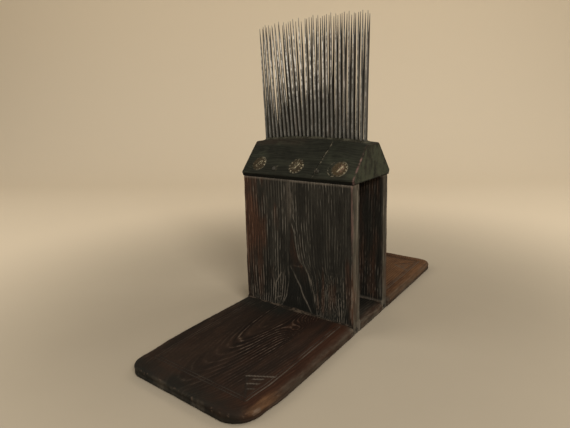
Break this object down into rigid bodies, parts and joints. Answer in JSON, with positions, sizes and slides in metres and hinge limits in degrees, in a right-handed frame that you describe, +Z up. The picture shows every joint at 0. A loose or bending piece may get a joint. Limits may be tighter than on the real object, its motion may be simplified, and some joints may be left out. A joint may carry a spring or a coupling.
{
  "type": "wool comb",
  "caption": "Free-standing wool comb: two rows of long iron tines in a carved wooden head, carried by two boards above the middle of a long foot board.",
  "frame": {"origin": "middle of the foot board's underside, on the floor", "axes": "+Z up along the tines; +Y along the foot board towards its far end, with the rosette-carved front of the head facing -Y; +X along the rows of tines to the right"},
  "size_m": [0.205, 0.573, 0.4534],
  "materials": {
    "foot_wood": "dark brown oiled wood, worn orange-brown along the long edges, satin",
    "board_wood": "blackened weathered wood with raised vertical grain, dull",
    "head_wood": "greenish black wood, greasy satin, chip-carved",
    "wedge_wood": "brown end grain, dull",
    "tine_iron": "dark forged iron, worn smooth and slightly shiny",
    "nail_iron": "rusted forged iron, dull"
  },
  "bodies": {
    "root": {"base_board": "foot_wood", "front_upright": "board_wood", "rear_upright": "board_wood", "head_block": "head_wood", "front_tenon_wedges": "wedge_wood", "rear_tenon_wedges": "wedge_wood", "foot_nails": "nail_iron", "front_head_nails": "nail_iron", "rear_head_nails": "nail_iron", "tine_front_01": "tine_iron", "tine_front_02": "tine_iron", "tine_front_03": "tine_iron", "tine_front_04": "tine_iron", "tine_front_05": "tine_iron", "tine_front_06": "tine_iron", "tine_front_07": "tine_iron", "tine_front_08": "tine_iron", "tine_front_09": "tine_iron", "tine_front_10": "tine_iron", "tine_front_11": "tine_iron", "tine_front_12": "tine_iron", "tine_front_13": "tine_iron", "tine_front_14": "tine_iron", "tine_front_15": "tine_iron", "tine_front_16": "tine_iron", "tine_front_17": "tine_iron", "tine_front_18": "tine_iron", "tine_front_19": "tine_iron", "tine_front_20": "tine_iron", "tine_front_21": "tine_iron", "tine_front_22": "tine_iron", "tine_front_23": "tine_iron", "tine_front_24": "tine_iron", "tine_front_25": "tine_iron", "tine_front_26": "tine_iron", "tine_rear_01": "tine_iron", "tine_rear_02": "tine_iron", "tine_rear_03": "tine_iron", "tine_rear_04": "tine_iron", "tine_rear_05": "tine_iron", "tine_rear_06": "tine_iron", "tine_rear_07": "tine_iron", "tine_rear_08": "tine_iron", "tine_rear_09": "tine_iron", "tine_rear_10": "tine_iron", "tine_rear_11": "tine_iron", "tine_rear_12": "tine_iron", "tine_rear_13": "tine_iron", "tine_rear_14": "tine_iron", "tine_rear_15": "tine_iron", "tine_rear_16": "tine_iron", "tine_rear_17": "tine_iron", "tine_rear_18": "tine_iron", "tine_rear_19": "tine_iron", "tine_rear_20": "tine_iron", "tine_rear_21": "tine_iron", "tine_rear_22": "tine_iron", "tine_rear_23": "tine_iron", "tine_rear_24": "tine_iron", "tine_rear_25": "tine_iron", "tine_rear_26": "tine_iron"}
  },
  "joints": []
}
